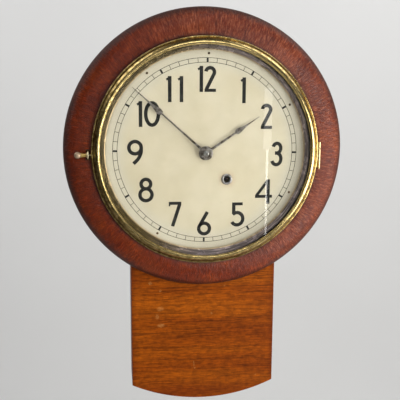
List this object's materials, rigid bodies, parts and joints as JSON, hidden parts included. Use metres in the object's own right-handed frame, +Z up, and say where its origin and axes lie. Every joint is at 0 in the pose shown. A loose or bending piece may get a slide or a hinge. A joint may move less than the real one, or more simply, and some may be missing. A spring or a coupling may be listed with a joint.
{
  "type": "schoolhouse wall clock",
  "caption": "Round wall clock with a wooden ring, hinged brass bezel, Arabic dial, spade hands and a short curved drop that holds a pendulum movement.",
  "frame": {"origin": "on the wall face, behind the axis of the hands", "axes": "+Z up, the dial faces -Y, +Y into the wall, +X to the right as seen from the front"},
  "size_m": [0.43, 0.1084, 0.6255],
  "materials": {
    "ring_wood": "reddish mahogany veneer, satin varnish",
    "drop_wood": "orange-brown mahogany, satin varnish",
    "inner_wood": "bare oak",
    "brass": "polished, lightly tarnished",
    "movement_brass": "aged brass",
    "sight_metal": "dull nickel plate",
    "steel": "satin",
    "hand_steel": "dark grey, blued",
    "dial_paint": "cream paint with black numerals",
    "glass": "clear flat glass"
  },
  "bodies": {
    "case": {"backboard": "inner_wood", "left_side_board": "drop_wood", "right_side_board": "drop_wood", "top_board": "drop_wood", "bottom_board": "drop_wood", "drop_front_panel": "drop_wood", "wood_ring": "ring_wood", "dial_board": "inner_wood", "hanger_plate": "steel", "movement_block_left": "inner_wood", "movement_block_right": "inner_wood", "side_door_frame_leaf": "brass", "dial_plate": "dial_paint", "winding_grommet": "sight_metal", "case_hinge_leaf": "brass", "bezel_hinge_pin": "brass", "latch_strike": "movement_brass", "back_plate": "movement_brass", "front_plate": "movement_brass", "pillar_1": "movement_brass", "pillar_2": "movement_brass", "pillar_3": "movement_brass", "pillar_4": "movement_brass", "suspension_cock": "movement_brass", "mainspring": "hand_steel", "minute_wheel_stud": "steel"},
    "bezel": {"bezel_ring": "brass", "sight_ring": "sight_metal", "glass": "glass", "bezel_hinge_leaf": "brass"},
    "latch": {"latch_knob": "brass"},
    "side_door": {"side_door": "drop_wood", "side_door_knob": "brass", "side_door_leaf": "brass"},
    "great_wheel": {"great_wheel": "movement_brass", "click_spring": "steel"},
    "click": {"click": "steel"},
    "winding_arbor": {"winding_arbor": "steel", "ratchet_wheel": "steel"},
    "second_arbor": {"second_arbor": "steel", "second_wheel": "movement_brass"},
    "minute_hand": {"center_arbor": "steel", "center_wheel": "movement_brass", "cannon_pinion": "steel", "minute_hand": "hand_steel", "hand_nut": "brass"},
    "minute_wheel": {"minute_wheel": "movement_brass"},
    "hour_hand": {"hour_wheel": "movement_brass", "hour_hand": "hand_steel"},
    "third_arbor": {"third_arbor": "steel", "third_wheel": "movement_brass"},
    "escape_arbor": {"escape_arbor": "steel", "escape_wheel": "movement_brass"},
    "anchor": {"pallet_arbor": "steel", "anchor": "steel", "crutch": "movement_brass"},
    "pendulum": {"suspension_spring": "steel", "pendulum_rod": "steel", "pendulum_bob": "brass", "rating_nut": "brass"}
  },
  "joints": [
    {"name": "bezel_hinge", "type": "hinge", "parent": "case", "child": "bezel", "pos_m": [0.175, -0.0978, -0.0036], "axis": [0, 0, 1], "range_deg": [0, 120]},
    {"name": "latch_turn", "type": "hinge", "parent": "bezel", "child": "latch", "pos_m": [-0.1775, -0.0992, -0.0003], "axis": [1, 0, 0], "range_deg": [0, 90]},
    {"name": "side_door_hinge", "type": "hinge", "parent": "case", "child": "side_door", "pos_m": [0.117, -0.0142, -0.29], "axis": [0, 0, 1], "range_deg": [0, 95]},
    {"name": "minute_hand_turn", "type": "hinge", "parent": "case", "child": "minute_hand", "pos_m": [0, -0.06, 0], "axis": [0, 1, 0], "continuous": true},
    {"name": "hour_hand_turn", "type": "hinge", "parent": "case", "child": "hour_hand", "pos_m": [0, -0.08, 0], "axis": [0, 1, 0], "continuous": true},
    {"name": "minute_wheel_turn", "type": "hinge", "parent": "case", "child": "minute_wheel", "pos_m": [-0.01273, -0.066, 0.01273], "axis": [0, 1, 0], "continuous": true},
    {"name": "second_arbor_turn", "type": "hinge", "parent": "case", "child": "second_arbor", "pos_m": [0.045, -0.045, 0], "axis": [0, 1, 0], "continuous": true},
    {"name": "great_wheel_turn", "type": "hinge", "parent": "case", "child": "great_wheel", "pos_m": [0.03299, -0.036, -0.04103], "axis": [0, 1, 0], "continuous": true, "deforming": ["mainspring"]},
    {"name": "third_arbor_turn", "type": "hinge", "parent": "case", "child": "third_arbor", "pos_m": [0.02879, -0.05, 0.02525], "axis": [0, 1, 0], "continuous": true},
    {"name": "escape_arbor_turn", "type": "hinge", "parent": "case", "child": "escape_arbor", "pos_m": [0, -0.04, 0.032], "axis": [0, 1, 0], "continuous": true},
    {"name": "winding_arbor_turn", "type": "hinge", "parent": "great_wheel", "child": "winding_arbor", "pos_m": [0.03299, -0.036, -0.04103], "axis": [0, -1, 0], "continuous": true},
    {"name": "click_pivot", "type": "hinge", "parent": "great_wheel", "child": "click", "pos_m": [0.04799, -0.0334, -0.02703], "axis": [0, 1, 0], "range_deg": [0, 12], "deforming": ["click_spring"]},
    {"name": "pendulum_swing", "type": "hinge", "parent": "case", "child": "pendulum", "pos_m": [0, -0.0175, 0.058], "axis": [0, 1, 0], "range_deg": [-4, 4]},
    {"name": "anchor_rock", "type": "hinge", "parent": "case", "child": "anchor", "pos_m": [0, -0.0405, 0.058], "axis": [0, 1, 0], "range_deg": [-4, 4]}
  ],
  "couplings": [
    {"joint": "hour_hand_turn", "follows": "minute_hand_turn", "ratio": 0.083333},
    {"joint": "minute_wheel_turn", "follows": "minute_hand_turn", "ratio": -0.33333},
    {"joint": "second_arbor_turn", "follows": "minute_hand_turn", "ratio": -0.66667},
    {"joint": "great_wheel_turn", "follows": "minute_hand_turn", "ratio": 0.083333},
    {"joint": "third_arbor_turn", "follows": "minute_hand_turn", "ratio": 6},
    {"joint": "escape_arbor_turn", "follows": "minute_hand_turn", "ratio": -72},
    {"joint": "anchor_rock", "follows": "pendulum_swing", "ratio": 1}
  ]
}
